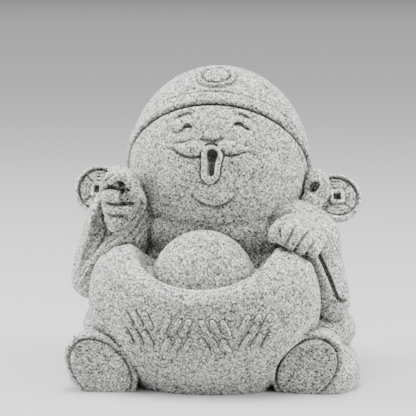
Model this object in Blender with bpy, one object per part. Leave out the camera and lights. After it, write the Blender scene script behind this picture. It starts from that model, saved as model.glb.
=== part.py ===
"""Tea pet of cast stone: a round-headed doll of a fortune god behind a big boat-shaped ingot.

The figure is one solid casting. It faces -Y and stands on its flat underside, with the origin
under the middle of its box. One PART is a ninetieth of the height, and the pose, proportions
and carving below are written in parts. Left and right are those of someone facing the figure.
"""

import math

import bmesh
import bpy
from mathutils import Euler, Matrix, Vector

HEIGHT = 0.090
PART = HEIGHT / 90
SHARP_EDGE = 35.0

# Head and cap
HEAD_CENTRE = Vector((0.2, 6.0, 60.6))
HEAD_RADII = Vector((26.4, 24.5, 29.0))
HEAD_SIDES = 34
CAP_LEAN = 45.5
CAP_ROLL = -1.0
CROWN_SWELL = 1.014
BAND_SWELL = 1.036
BAND_TOP = 85.0
BAND_WIDTH = 7.6
BAND_EDGE = 1.2
BAND_ROUND = 0.006
BADGE_AT = (2.4, 67.2)
BADGE_RADIUS = 4.7
BADGE_RAISE = 0.9
BADGE_SIDES = 16
BUTTON_RADIUS = 3.7
BUTTON_RAISE = 1.6

# Face, placed by longitude and latitude on the head, in degrees from the face's own middle
FACE_TURN = 1.8
BROW_RADIUS = 0.5
EYE_RADIUS = 0.55
NOSE_AT = (0.0, 22.5)
NOSE_RADII = (2.1, 1.7, 1.8)
MOUTH_RIM = 2.7
MOUTH_RAISE = 0.7
MOUTH_OPENING = 1.6
CHIN_CREASE = 0.45

# Trunk, chest, knees and hem
TRUNK_CENTRE = (0.0, 8.0, 22.0)
TRUNK_RADII = (33.0, 23.0, 33.0)
CHEST_CENTRE = (0.0, 2.0, 43.5)
CHEST_RADII = (24.0, 17.5, 13.0)
HEM_CENTRE = (-0.3, 6.5, 3.5)
HEM_RADII = (41.4, 24.5, 13.0)
KNEE_CENTRE = (28.0, -1.0, 14.0)
KNEE_RADII = (12.2, 14.5, 8.5)
LEG_SHIFT = 1.0
CUFF_CENTRE = (32.8, -12.4, 3.8)
CUFF_RADII = (9.4, 12.3, 9.2)

# Ingot
INGOT_CENTRE = (-0.8, -19.5)
INGOT_PLAN = (33.0, 17.0)
INGOT_BELLY_Z = 25.0
INGOT_BELLY_DROP = 29.0
INGOT_FOOT = 0.52
INGOT_RING_ZS = (-1.0, 1.0, 4.5, 9.5, 15.5, 21.5)
INGOT_SIDES = 34
RIM_FRONT_Z = 30.6
HORN_RISE = 10.0
RIM_SHOULDER = 5.4
RIM_TOP = (0.72, 0.42)
RIM_FALL = 0.6
TROUGH_FRONT = 2.0
TROUGH_HORN = 6.0
DOME_PLAN = (15.2, 10.8)
DOME_TOP_Z = 45.2

# Raised strokes on the ingot and on the coins
STROKE_RADIUS = 0.75
STROKE_RAISE = 0.25
STROKE_GROUPS = 4
STROKE_PITCH = 10.9
STROKE_ROWS = 2
STROKE_ROW_PITCH = 5.3
STROKES_IN_ROW = 3
STROKE_SPACE = 2.9
STROKE_HALF = (0.8, 1.6)
STROKE_SAG = 1.6
STROKES_Z = 19.4

# Coins
COIN_RADIUS = 7.3
COIN_THICK = 5.5
COIN_RIM = 0.9
COIN_RECESS = 0.45
COIN_HOLE = 2.1
COIN_FRAME = 4.2
COIN_STROKE = 0.5
COIN_STROKE_Z = -0.37
COIN_SIDES = 22
COIN_CENTRES = ((-35.9, 4.0, 53.3), (35.2, 4.0, 52.5))
COIN_TILTS = (18.0, 32.0)
COIN_SPLAYS = (-8.0, 15.0)
COIN_ROOT_CENTRES = ((-27.0, 7.5, 50.9), (27.0, 7.5, 50.3))
COIN_ROOT_RADII = (7.0, 4.5, 5.5)

# Ears
EAR_CENTRE = (29.3, 1.8, 55.0)
EAR_RADII = (4.0, 3.2, 5.6)
LOBE_CENTRE = (28.0, -0.2, 50.9)
LOBE_RADII = (3.2, 2.8, 3.4)
EAR_HOLE_RADII = (1.7, 1.6, 0.95)

# Shoes: the soles are long ovals that face the viewer with the toes up and out
SHOE_CENTRES = ((-28.6, -30.2, 6.4), (29.0, -24.8, 7.3))
SHOE_HALF = (12.2, 8.7)
SHOE_DEPTH = 15.0
TOE_LEAN = (-50.0, 49.0)
SOLE_TURN = 5.0
SOLE_DROP = 8.0
SOLE_SHARE = 0.86
SOLE_RAISE = 0.5
WELT_DEPTH = 0.06
SHOE_SIDES = 20

# What lies below the table is cut away
TABLE_SPREAD = 120.0
TABLE_DEPTH = 20.0


def clear_scene():
    for obj in list(bpy.data.objects):
        bpy.data.objects.remove(obj, do_unlink=True)


def stone():
    material = bpy.data.materials.new("speckled_grey_stone")
    material.use_nodes = True
    shader = material.node_tree.nodes["Principled BSDF"]
    shader.inputs["Base Color"].default_value = (0.33, 0.33, 0.32, 1.0)
    shader.inputs["Roughness"].default_value = 0.9
    shader.inputs["Metallic"].default_value = 0.0
    return material


def add_mesh(name, bm, collection):
    """Turns a bmesh in parts into an object in metres."""
    bmesh.ops.scale(bm, vec=(PART, PART, PART), verts=bm.verts)
    bmesh.ops.recalc_face_normals(bm, faces=bm.faces)
    mesh = bpy.data.meshes.new(name)
    bm.to_mesh(mesh)
    bm.free()
    obj = bpy.data.objects.new(name, mesh)
    collection.objects.link(obj)
    return obj


def blob(collection, name, centre, radii, turn=(0, 0, 0), segments=16, rings=10):
    bm = bmesh.new()
    bmesh.ops.create_uvsphere(bm, u_segments=segments, v_segments=rings, radius=1.0)
    angles = Euler([math.radians(a) for a in turn])
    place = Matrix.Translation(centre) @ angles.to_matrix().to_4x4() @ Matrix.Diagonal((*radii, 1.0))
    bmesh.ops.transform(bm, matrix=place, verts=bm.verts)
    return add_mesh(name, bm, collection)


def skin_rings(bm, rings, start, end):
    """Joins closed rings of points by quads and shuts both ends with a pole."""
    loops = [[bm.verts.new(p) for p in ring] for ring in rings]
    sides = len(loops[0])
    for near, far in zip(loops, loops[1:]):
        for i in range(sides):
            j = (i + 1) % sides
            bm.faces.new((near[i], near[j], far[j], far[i]))
    for loop, pole in ((loops[0], start), (loops[-1], end)):
        tip = bm.verts.new(pole)
        for i in range(sides):
            bm.faces.new((loop[i], loop[(i + 1) % sides], tip))


def limb(collection, name, stations, sides=8, deep=1.0, caps=(0.7,)):
    """A tube through (point, radius) stations, stretched by deep along Y.

    Each of caps is how far out an end ring sits, as a share of the radius there.
    """
    points = [Vector(p) for p, _ in stations]
    radii = [r for _, r in stations]
    rings = []

    def ring(centre, tangent, radius):
        across = tangent.cross(Vector((0, 1, 0)))
        if across.length < 0.2:
            across = Vector((1, 0, 0))
        across.normalize()
        front = across.cross(tangent).normalized()
        turns = [2 * math.pi * i / sides for i in range(sides)]
        return [centre + radius * (math.cos(t) * across + deep * math.sin(t) * front) for t in turns]

    first = (points[1] - points[0]).normalized()
    last = (points[-1] - points[-2]).normalized()
    for out in reversed(caps):
        rings.append(ring(points[0] - out * radii[0] * first, first, math.sqrt(1 - out * out) * radii[0]))
    for i, (point, radius) in enumerate(zip(points, radii)):
        before = points[max(i - 1, 0)]
        after = points[min(i + 1, len(points) - 1)]
        rings.append(ring(point, (after - before).normalized(), radius))
    for out in caps:
        rings.append(ring(points[-1] + out * radii[-1] * last, last, math.sqrt(1 - out * out) * radii[-1]))
    bm = bmesh.new()
    skin_rings(bm, rings, points[0] - radii[0] * first, points[-1] + radii[-1] * last)
    return add_mesh(name, bm, collection)


def turned(collection, name, profile, place, sides, stretch=(1.0, 1.0)):
    """Turns a (radius, height) profile about local Z. The first and last heights give its poles."""
    turns = [2 * math.pi * i / sides for i in range(sides)]
    rings = [
        [place @ Vector((r * stretch[0] * math.cos(t), r * stretch[1] * math.sin(t), z)) for t in turns]
        for r, z in profile
    ]
    bm = bmesh.new()
    skin_rings(bm, rings, place @ Vector((0, 0, profile[0][1])), place @ Vector((0, 0, profile[-1][1])))
    return add_mesh(name, bm, collection)


def half_step(sides):
    """Half a side's turn about Z, so that the edges of two forms on one axis don't meet."""
    return Matrix.Rotation(math.pi / sides, 4, "Z")


def block(collection, name, size, place):
    bm = bmesh.new()
    bmesh.ops.create_cube(bm, size=1.0, matrix=place @ Matrix.Diagonal((*size, 1.0)))
    return add_mesh(name, bm, collection)


def facing(normal, centre):
    """A frame at centre whose Z runs along normal and whose X stays level."""
    z = Vector(normal).normalized()
    x = Vector((0, 0, 1)).cross(z).normalized()
    y = z.cross(x)
    return Matrix.Translation(centre) @ Matrix((x, y, z)).transposed().to_4x4()


def on_head(longitude, latitude, lift=0.0):
    """A point of the bare head, and the way out of it there."""
    lon, lat = math.radians(longitude), math.radians(latitude)
    way = Vector((math.cos(lat) * math.sin(lon), -math.cos(lat) * math.cos(lon), math.sin(lat)))
    out = Vector([w / r for w, r in zip(way, HEAD_RADII)]).normalized()
    return HEAD_CENTRE + Vector([w * r for w, r in zip(way, HEAD_RADII)]) + lift * out, out


def on_face(across, up, lift=0.0):
    """A point by degrees across and up from the face's middle."""
    return on_head(FACE_TURN + across, up, lift)[0]


def head(solids):
    lean, roll = math.radians(CAP_LEAN), math.radians(CAP_ROLL)
    axis = Vector((math.sin(roll), math.sin(lean) * math.cos(roll), math.cos(lean) * math.cos(roll)))
    turn = facing(axis, (0, 0, 0))
    band_foot = BAND_TOP + BAND_WIDTH
    crown = [(share * BAND_TOP, CROWN_SWELL) for share in (0.16, 0.34, 0.51, 0.67, 0.81, 0.91)]
    crown.append((BAND_TOP - BAND_EDGE, CROWN_SWELL))
    band = [
        (BAND_TOP, 1.0),
        (BAND_TOP + BAND_EDGE, BAND_SWELL - BAND_ROUND),
        (BAND_TOP + BAND_WIDTH / 2, BAND_SWELL),
        (band_foot - BAND_EDGE, BAND_SWELL - BAND_ROUND),
        (band_foot, 1.0),
    ]
    face = [(band_foot + share * (180 - band_foot), 1.0) for share in (0.1, 0.22, 0.35, 0.49, 0.64, 0.82)]
    rings = []
    for angle, swell in crown + band + face:
        polar = math.radians(angle)
        ring = []
        for i in range(HEAD_SIDES):
            t = 2 * math.pi * i / HEAD_SIDES
            way = Vector((math.sin(polar) * math.cos(t), math.sin(polar) * math.sin(t), math.cos(polar)))
            way = swell * (turn @ way)
            ring.append(HEAD_CENTRE + Vector([w * r for w, r in zip(way, HEAD_RADII)]))
        rings.append(ring)
    poles = []
    for sign, swell in ((1, CROWN_SWELL), (-1, 1.0)):
        poles.append(HEAD_CENTRE + sign * swell * Vector([w * r for w, r in zip(axis, HEAD_RADII)]))
    bm = bmesh.new()
    skin_rings(bm, rings, *poles)
    return add_mesh("figure", bm, solids)


def badge(solids):
    centre, out = on_head(*BADGE_AT)
    place = facing(out, centre)
    disc = [(BADGE_RADIUS, -2.0), (BADGE_RADIUS, BADGE_RAISE - 0.4), (BADGE_RADIUS - 0.5, BADGE_RAISE)]
    turned(solids, "badge_disc", disc, place, BADGE_SIDES)
    button = [
        (BUTTON_RADIUS, -2.0),
        (BUTTON_RADIUS, BUTTON_RAISE - 0.5),
        (0.8 * BUTTON_RADIUS, BUTTON_RAISE - 0.1),
        (0.4 * BUTTON_RADIUS, BUTTON_RAISE + 0.1),
    ]
    turned(solids, "badge_button", button, place @ half_step(BADGE_SIDES), BADGE_SIDES)


def face(solids, cutters):
    blob(solids, "nose", on_face(*NOSE_AT, 0.5), NOSE_RADII, segments=10, rings=6)
    for side in (-1, 1):
        hair = [
            (4.0, 16.2, 1.2),
            (8.2, 15.6, 1.95),
            (14.0, 15.1, 1.75),
            (20.5, 14.8, 1.0),
            (27.6, 14.4, 0.4),
        ]
        stations = [(on_face(side * a, u, 0.1), r) for a, u, r in hair]
        limb(solids, "moustache", stations, sides=6, deep=0.8)
        eye = [(14.4, 27.6), (17.4, 28.8), (20.2, 27.7), (23.6, 25.2), (28.6, 24.4)]
        limb(cutters, "eye_line", [(on_face(side * a, u, 0.15), EYE_RADIUS) for a, u in eye], sides=6)
        brow = [(15.4, 35.6), (22.0, 35.2), (29.4, 31.2)]
        limb(cutters, "brow_line", [(on_face(side * a, u, 0.2), BROW_RADIUS) for a, u in brow], sides=6)
    lips = [(0.5, 12.0, MOUTH_RIM), (0.2, 6.5, 0.85 * MOUTH_RIM), (-0.4, 0.4, 0.9 * MOUTH_RIM)]
    limb(solids, "mouth_rim", [(on_face(a, u, MOUTH_RAISE - 0.75 * r), r) for a, u, r in lips], sides=10)
    gap = [
        (0.8, 11.4, MOUTH_OPENING),
        (0.5, 6.0, 0.65 * MOUTH_OPENING),
        (0.4, 1.4, 0.5 * MOUTH_OPENING),
    ]
    limb(cutters, "mouth_opening", [(on_face(a, u, 0.3), r) for a, u, r in gap], sides=8, deep=1.6)
    crease = [(-11.4, -13.0), (-5.5, -16.6), (0.8, -18.2), (7.0, -17.2), (13.6, -13.6)]
    limb(cutters, "chin_crease", [(on_face(a, u, 0.1), CHIN_CREASE) for a, u in crease], sides=6)


def trunk(solids):
    blob(solids, "trunk", TRUNK_CENTRE, TRUNK_RADII, segments=24, rings=10)
    blob(solids, "chest", CHEST_CENTRE, CHEST_RADII, segments=16, rings=8)
    blob(solids, "hem", HEM_CENTRE, HEM_RADII, segments=24, rings=8)
    for side in (-1, 1):
        x, y, z = KNEE_CENTRE
        blob(solids, "knee", (side * x + LEG_SHIFT, y, z), KNEE_RADII, segments=12, rings=7)
        x, y, z = CUFF_CENTRE
        blob(solids, "trouser_cuff", (side * x + LEG_SHIFT, y, z), CUFF_RADII, segments=12, rings=7)


def ingot_width(z):
    """The ingot's girth at a height, as a share of its widest."""
    rise = (z - INGOT_BELLY_Z) / INGOT_BELLY_DROP
    return math.sqrt(max(1.0 - rise * rise, 0.0))


def ingot_point(turn, share, z):
    return Vector(
        (
            INGOT_CENTRE[0] + INGOT_PLAN[0] * share * math.cos(turn),
            INGOT_CENTRE[1] + INGOT_PLAN[1] * share * math.sin(turn),
            z,
        )
    )


def ingot(solids):
    """Belly, rim, trough and dome, as closed rings from the foot up, over the rim and inwards."""
    turns = [2 * math.pi * i / INGOT_SIDES for i in range(INGOT_SIDES)]
    rings = [[ingot_point(t, 0.9 * INGOT_FOOT, INGOT_RING_ZS[0]) for t in turns]]
    for z in INGOT_RING_ZS:
        rings.append([ingot_point(t, max(ingot_width(z), INGOT_FOOT), z) for t in turns])
    middle = Vector((*INGOT_CENTRE, 0.0))
    up = Vector((0, 0, 1))
    sill, lip, plateau, brim, trough, dome_foot = [], [], [], [], [], []
    for t in turns:
        horn = math.cos(t) ** 2
        top = RIM_FRONT_Z + HORN_RISE * horn
        sill.append(ingot_point(t, ingot_width(top - RIM_SHOULDER), top - RIM_SHOULDER))
        outer = ingot_point(t, ingot_width(top - RIM_SHOULDER / 3), top)
        inner = middle + Vector((DOME_PLAN[0] * math.cos(t), DOME_PLAN[1] * math.sin(t), top))
        drop = TROUGH_FRONT + (TROUGH_HORN - TROUGH_FRONT) * horn
        lip.append(inner.lerp(outer, 0.96) - RIM_SHOULDER / 3 * up)
        plateau.append(inner.lerp(outer, RIM_TOP[0]) - RIM_FALL * up)
        brim.append(inner.lerp(outer, RIM_TOP[1]))
        trough.append(inner.lerp(outer, 0.1) - drop * up)
        dome_foot.append(inner - (drop - 1.2) * up)
    rings += [sill, lip, plateau, brim, trough, dome_foot]
    for share in (0.35, 0.65, 0.88):
        plan = math.sqrt(1.0 - share * share)
        ring = []
        for point in dome_foot:
            spread = middle + plan * (point - middle)
            spread.z = point.z + (DOME_TOP_Z - point.z) * share
            ring.append(spread)
        rings.append(ring)
    bm = bmesh.new()
    skin_rings(bm, rings, (*INGOT_CENTRE, INGOT_RING_ZS[0]), (*INGOT_CENTRE, DOME_TOP_Z))
    return add_mesh("ingot", bm, solids)


def on_ingot(x, z, lift):
    """A point of the ingot's front wall, raised off it."""
    share = ingot_width(z)
    across = (x - INGOT_CENTRE[0]) / (INGOT_PLAN[0] * share)
    y = INGOT_CENTRE[1] - INGOT_PLAN[1] * share * math.sqrt(max(1.0 - across * across, 0.0))
    out = Vector((across / INGOT_PLAN[0], -math.sqrt(max(1.0 - across * across, 0.0)) / INGOT_PLAN[1], 0))
    return Vector((x, y, z)) + lift * out.normalized()


def stroke_rows(solids):
    """Groups of rows of short parallel strokes that spell nothing, in a shallow arc on the ingot."""
    middle = (STROKE_GROUPS - 1) / 2
    for group in range(STROKE_GROUPS):
        x = INGOT_CENTRE[0] + STROKE_PITCH * (group - middle)
        z = STROKES_Z - STROKE_SAG * (1.0 - ((group - middle) / middle) ** 2)
        lean = STROKE_HALF[0] if group % 2 else -STROKE_HALF[0]
        for row in range(STROKE_ROWS):
            row_z = z + STROKE_ROW_PITCH * (row - (STROKE_ROWS - 1) / 2)
            for column in range(STROKES_IN_ROW):
                column_x = x + STROKE_SPACE * (column - (STROKES_IN_ROW - 1) / 2)
                ends = [(column_x + sign * lean, row_z + sign * STROKE_HALF[1]) for sign in (-1, 1)]
                stations = [(on_ingot(px, pz, STROKE_RAISE), STROKE_RADIUS) for px, pz in ends]
                limb(solids, "ingot_stroke", stations, sides=5, caps=())


def coins(solids, cutters):
    for centre, tilt, splay in zip(COIN_CENTRES, COIN_TILTS, COIN_SPLAYS):
        tilt, splay = math.radians(tilt), math.radians(splay)
        level = math.cos(tilt)
        place = facing((math.sin(splay) * level, -math.cos(splay) * level, math.sin(tilt)), centre)
        profile = [
            (0.72 * COIN_RADIUS, -COIN_THICK),
            (COIN_RADIUS, -0.55 * COIN_THICK),
            (COIN_RADIUS, -0.3),
            (COIN_RADIUS - 0.3, 0.0),
            (COIN_RADIUS - COIN_RIM, 0.0),
            (COIN_RADIUS - COIN_RIM - 0.2, -COIN_RECESS),
        ]
        turned(solids, "coin", profile, place @ half_step(COIN_SIDES), COIN_SIDES)
        block(solids, "coin_frame", (COIN_FRAME, COIN_FRAME, 2.0), place @ Matrix.Translation((0, 0, -1.0)))
        block(cutters, "coin_hole", (COIN_HOLE, COIN_HOLE, 3.0), place)
        reach = (COIN_FRAME / 2 + COIN_RADIUS - COIN_RIM) / 2
        for quarter in range(4):
            spin = Matrix.Rotation(math.pi / 2 * quarter, 4, "Z")
            for offset in (-0.8, 0.8):
                ends = [place @ spin @ Vector((x, reach + offset, COIN_STROKE_Z)) for x in (-1.5, 1.5)]
                limb(solids, "coin_stroke", [(p, COIN_STROKE) for p in ends], sides=4, caps=())
    for centre in COIN_ROOT_CENTRES:
        blob(solids, "coin_root", centre, COIN_ROOT_RADII, segments=8, rings=6)


def ears(solids, cutters):
    """Both ears. The raised sleeve lies on the left one, so only the right one has its hollow."""
    for side in (-1, 1):
        x, y, z = EAR_CENTRE
        blob(solids, "ear", (side * x, y, z), EAR_RADII, segments=9, rings=6)
        x, y, z = LOBE_CENTRE
        blob(solids, "ear_lobe", (side * x, y, z), LOBE_RADII, segments=9, rings=6)
    x, y, z = EAR_CENTRE
    hole = (x - 0.6, y - EAR_RADII[1], z + 1.0)
    blob(cutters, "ear_hole", hole, EAR_HOLE_RADII, turn=(0, 25, 0), segments=10, rings=6)


def sleeves(solids, cutters):
    raised = [
        ((-25.6, -7.6, 51.6), 7.2),
        ((-27.2, -7.4, 45.3), 9.6),
        ((-29.1, -7.4, 38.5), 9.8),
        ((-32.3, -7.8, 33.0), 8.3),
        ((-35.3, -8.4, 28.6), 6.0),
    ]
    limb(solids, "raised_sleeve", raised, sides=16, deep=0.9, caps=(0.5, 0.87))
    mouth = [
        ((-25.8, -16.0, 54.0), 6.0),
        ((-29.0, -16.0, 46.5), 5.6),
        ((-34.4, -15.8, 38.5), 2.6),
        ((-38.0, -14.4, 31.5), 1.1),
        ((-40.4, -12.6, 27.2), 0.7),
    ]
    limb(cutters, "raised_sleeve_mouth", mouth, sides=10, deep=1.25)
    resting = [
        ((20.0, -3.0, 47.2), 6.0),
        ((28.6, -5.2, 42.2), 7.4),
        ((30.8, -6.6, 35.3), 6.6),
        ((33.6, -8.0, 27.8), 5.7),
        ((34.9, -8.8, 23.2), 5.0),
    ]
    limb(solids, "resting_sleeve", resting, sides=14, deep=1.15, caps=(0.5, 0.87))
    slit = [
        ((30.8, -15.6, 39.8), 0.9),
        ((33.0, -14.8, 34.8), 1.2),
        ((35.2, -14.6, 29.8), 1.2),
        ((37.6, -13.6, 24.6), 1.0),
    ]
    limb(cutters, "resting_sleeve_slit", slit, sides=8, deep=2.0)


def raised_hand(solids):
    """A fist with its fingers curled towards the viewer, above the sleeve's mouth."""
    blob(solids, "fist", (-25.2, -14.0, 52.8), (6.0, 5.2, 9.2), segments=14, rings=10)
    fingers = (
        [
            ((-28.6, -17.0, 57.4), 1.7),
            ((-26.2, -18.8, 59.4), 1.9),
            ((-23.4, -18.8, 60.6), 2.0),
            ((-21.2, -18.4, 58.4), 1.4),
        ],
        [((-28.2, -17.2, 54.4), 2.1), ((-25.6, -19.0, 54.7), 2.3), ((-23.6, -19.0, 54.7), 2.1)],
        [((-28.4, -17.2, 50.6), 1.8), ((-25.0, -19.0, 50.8), 2.0), ((-21.8, -18.2, 51.0), 1.8)],
        [((-27.4, -16.0, 47.4), 2.1), ((-25.0, -17.6, 47.2), 2.3), ((-23.2, -17.0, 47.4), 2.0)],
        [((-20.0, -16.4, 52.4), 2.1), ((-20.2, -18.0, 54.6), 2.3), ((-19.8, -17.8, 57.0), 1.6)],
    )
    for stations in fingers:
        limb(solids, "raised_finger", stations, sides=6)


def resting_hand(solids):
    """A hand laid on the ingot's right horn, its fingers pointing down to the left."""
    blob(solids, "hand_back", (26.4, -13.0, 44.4), (6.6, 6.6, 4.2), turn=(0, 32, 0), segments=14, rings=8)
    fingers = (
        [((22.6, -15.0, 47.0), 2.0), ((20.4, -18.6, 45.8), 2.1), ((19.2, -20.4, 43.4), 1.8)],
        [((24.6, -15.6, 46.6), 2.0), ((22.8, -20.0, 44.6), 2.1), ((21.8, -21.4, 42.2), 1.8)],
        [((26.6, -15.4, 45.4), 2.0), ((25.4, -20.2, 43.2), 2.1), ((24.4, -21.4, 40.8), 1.8)],
        [((28.6, -14.8, 43.6), 2.0), ((28.0, -19.2, 41.6), 2.1), ((27.2, -20.4, 39.4), 1.8)],
        [((30.2, -13.8, 41.6), 1.8), ((30.2, -17.6, 40.0), 1.9), ((29.8, -18.8, 38.2), 1.6)],
    )
    for stations in fingers:
        limb(solids, "resting_finger", stations, sides=6)


def shoes(solids):
    """Each shoe is turned about its sole's own axis: upper, welt, rounded edge and raised sole."""
    profile = [
        (0.5, -SHOE_DEPTH),
        (0.76, -0.8 * SHOE_DEPTH),
        (0.88, -8.0),
        (0.93, -5.0),
        (0.97 - WELT_DEPTH, -4.4),
        (0.97, -3.8),
        (1.0, -1.8),
        (0.96, -0.8),
        (SOLE_SHARE + 0.03, -0.3),
        (SOLE_SHARE, 0.0),
        (SOLE_SHARE - 0.03, SOLE_RAISE),
    ]
    for centre, lean, side in zip(SHOE_CENTRES, TOE_LEAN, (-1, 1)):
        turn, drop = math.radians(SOLE_TURN), math.radians(SOLE_DROP)
        level = math.cos(drop)
        place = facing((-side * math.sin(turn) * level, -math.cos(turn) * level, -math.sin(drop)), centre)
        place = place @ Matrix.Rotation(math.radians(lean), 4, "Z")
        turned(solids, "shoe", profile, place, SHOE_SIDES, stretch=SHOE_HALF)


def combine(target, solids, cutters, carried, floor):
    """Unions the solids, takes the cutters out, adds the hands and trims the underside flat."""
    steps = (
        ("join", "UNION", solids),
        ("carve", "DIFFERENCE", cutters),
        ("hands", "UNION", carried),
        ("underside", "DIFFERENCE", floor),
    )
    for name, operation, collection in steps:
        modifier = target.modifiers.new(name, "BOOLEAN")
        modifier.operation = operation
        modifier.solver = "EXACT"
        modifier.operand_type = "COLLECTION"
        modifier.collection = collection
        for obj in collection.objects:
            obj.hide_render = True
            obj.display_type = "WIRE"


def settle(target):
    """Moves the casting so that its box stands centred on the origin, and shades it smooth."""
    graph = bpy.context.evaluated_depsgraph_get()
    mesh = bpy.data.meshes.new_from_object(target.evaluated_get(graph))
    target.modifiers.clear()
    target.data = mesh
    corners = [[v.co[axis] for v in mesh.vertices] for axis in range(3)]
    low, high = [min(c) for c in corners], [max(c) for c in corners]
    mesh.transform(Matrix.Translation((-(low[0] + high[0]) / 2, -(low[1] + high[1]) / 2, -low[2])))
    mesh.shade_smooth()
    mesh.set_sharp_from_angle(angle=math.radians(SHARP_EDGE))


def main():
    clear_scene()
    groups = []
    for name in ("joined_forms", "carved_away", "hands_added", "under_the_table"):
        group = bpy.data.collections.new(name)
        bpy.context.scene.collection.children.link(group)
        groups.append(group)
    solids, cutters, carried, floor = groups
    target = head(bpy.context.scene.collection)
    badge(solids)
    face(solids, cutters)
    trunk(solids)
    ingot(solids)
    stroke_rows(solids)
    coins(solids, cutters)
    ears(solids, cutters)
    sleeves(solids, cutters)
    shoes(solids)
    raised_hand(carried)
    resting_hand(carried)
    table = (TABLE_SPREAD, TABLE_SPREAD, TABLE_DEPTH)
    block(floor, "table", table, Matrix.Translation((0, 0, -TABLE_DEPTH / 2)))
    combine(target, solids, cutters, carried, floor)
    settle(target)
    target.data.materials.clear()
    target.data.materials.append(stone())


main()
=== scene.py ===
import math

import bpy
import numpy as np
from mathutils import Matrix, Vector


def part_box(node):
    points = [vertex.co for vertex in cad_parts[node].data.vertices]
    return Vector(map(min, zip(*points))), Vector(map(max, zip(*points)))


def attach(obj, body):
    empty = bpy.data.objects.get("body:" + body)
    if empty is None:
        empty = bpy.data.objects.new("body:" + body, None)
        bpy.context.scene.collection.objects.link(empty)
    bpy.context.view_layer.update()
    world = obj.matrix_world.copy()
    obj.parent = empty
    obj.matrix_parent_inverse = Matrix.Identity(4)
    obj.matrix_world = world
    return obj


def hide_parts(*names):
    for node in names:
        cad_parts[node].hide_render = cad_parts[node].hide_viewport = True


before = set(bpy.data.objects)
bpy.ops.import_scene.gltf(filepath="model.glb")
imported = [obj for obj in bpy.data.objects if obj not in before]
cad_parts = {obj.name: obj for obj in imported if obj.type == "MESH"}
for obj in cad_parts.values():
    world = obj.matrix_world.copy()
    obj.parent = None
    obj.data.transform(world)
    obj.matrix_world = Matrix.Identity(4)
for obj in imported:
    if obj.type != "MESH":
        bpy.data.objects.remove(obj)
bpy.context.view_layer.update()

# The figure is sculpted in parts, ninetieths of its height, as a block of signed distances that
# forms are added to and cut from. It is then skinned, thinned and moved into the CAD solid's box.
LOW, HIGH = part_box("figure")
PART = (HIGH.z - LOW.z) / 90
CELL = 0.3
BLOCK_LOW = (-44.4, -38.4, -1.4)
BLOCK_HIGH = (44.4, 32.6, 92.2)
REACH = 2.4
BACK_Y = 31.0
FAR = 6.0
MOST_TRIANGLES = 190000

# Head, cap and face
HEAD_CENTRE = np.array((0.2, 6.0, 60.6))
HEAD_RADII = np.array((26.4, 24.5, 29.0))
CAP_LEAN = math.radians(45.5)
CAP_ROLL = math.radians(-1)
CROWN_RAISE = 0.4
BAND_RAISE = 0.95
BAND_TOP = 85.2
BAND_FOOT = 92.3
FACE_TURN = 1.8
BADGE_AT = (2.4, 67.2)
BADGE_RADIUS = 5.3
BADGE_RISE = 0.95
BADGE_RING = 4.0
BADGE_BOSS = 3.6

# Ingot
INGOT = np.array((-0.8, -19.5))
INGOT_PLAN = np.array((33.0, 17.0))
BELLY_Z = 25.0
BELLY_DROP = 29.0
INGOT_FOOT = 0.52
RIM_FRONT_Z = 30.6
HORN_RISE = 10.0
DOME_PLAN = np.array((15.2, 10.8))
DOME_TOP_Z = 45.2
STROKE_GROUPS = 4
STROKE_PITCH = 10.9
STROKE_ROWS = 2
STROKE_ROW_PITCH = 5.3
STROKES_IN_ROW = 3
STROKE_SPACE = 2.9
STROKE_HALF = (0.8, 1.6)
STROKE_SAG = 1.6
STROKES_Z = 19.4
STROKE_RADIUS = 0.8
STROKE_BED = 1.15

# Coins and shoes
COIN_RADIUS = 7.3
COIN_THICK = 5.5
COIN_RIM = 1.05
COIN_RECESS = 0.8
COIN_FRAME = 2.15
COIN_HOLE = 1.15
COIN_STROKES = ((3.15, 0.9), (4.15, 1.35), (5.15, 1.1))
COIN_STROKE_RADIUS = 0.34
COIN_CENTRES = ((-35.9, 4.0, 53.3), (35.2, 4.0, 52.5))
COIN_TILTS = (math.radians(18), math.radians(32))
COIN_SPLAYS = (math.radians(-8), math.radians(15))
SHOE_CENTRES = ((-28.6, -30.2, 6.4), (29.0, -24.8, 7.3))
SHOE_HALF = np.array((12.2, 8.7))
SHOE_DEPTH = 15.0
SHOE_WELT = 4.6
SHOE_PROFILE = np.array((
    (0.5, -15.0), (0.76, -12.0), (0.88, -8.0), (0.93, -5.2),
    (0.94, -4.6), (0.97, -3.8), (1.0, -1.8), (1.0, 1.0),
))
TOE_LEAN = (math.radians(-50), math.radians(49))
SOLE_TURN = math.radians(5)
SOLE_DROP = math.radians(8)

# Stone: grains and bumps in metres, greys by share, and how many cells the painted shade of hollows is
# averaged over
STONE_ROUGHNESS = 0.88
FINE_GRAIN = 0.00034
FINE_GREYS = ((0.0, 0.01), (0.24, 0.03), (0.34, 0.16), (0.66, 0.44), (0.76, 0.9), (1.0, 1.0))
COARSE_GRAIN = 0.00044
COARSE_GREYS = ((0.0, 0.02), (0.18, 0.05), (0.28, 0.24), (0.72, 0.42), (0.82, 0.78), (1.0, 0.92))
CLOUD_GREYS = ((0.3, 0.9), (0.7, 1.05))
# Painted shade in hollows and painted light on ridges: greys by how deep a point lies in a hollow
PAINTED_SHADE_GREYS = ((0.0, 1.25), (0.5, 0.98), (0.7, 0.45), (1.0, 0.16))
PAINTED_SHADE_WIDTH = 5
BUMP_HEIGHT = 0.00012

# Stage, in metres: the floor runs on past the top of the picture
FLOOR_HALF = 8.0
FLOOR_GREY = 0.55
WORLD_COLOUR = (0.92, 0.94, 1.0, 1.0)
WORLD_STRENGTH = 0.12
LIGHTS = (
    ("sky_light", 300.0, 9.0, (0.0, 0.2, 3.2)),
    ("top_light", 6.0, 0.3, (-0.02, -0.05, 0.62)),
    ("left_light", 5.6, 0.3, (-0.55, -0.04, 0.26)),
    ("right_light", 5.0, 0.3, (0.55, -0.04, 0.26)),
)
AIM = (0.0, 0.0, 0.045)

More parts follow.
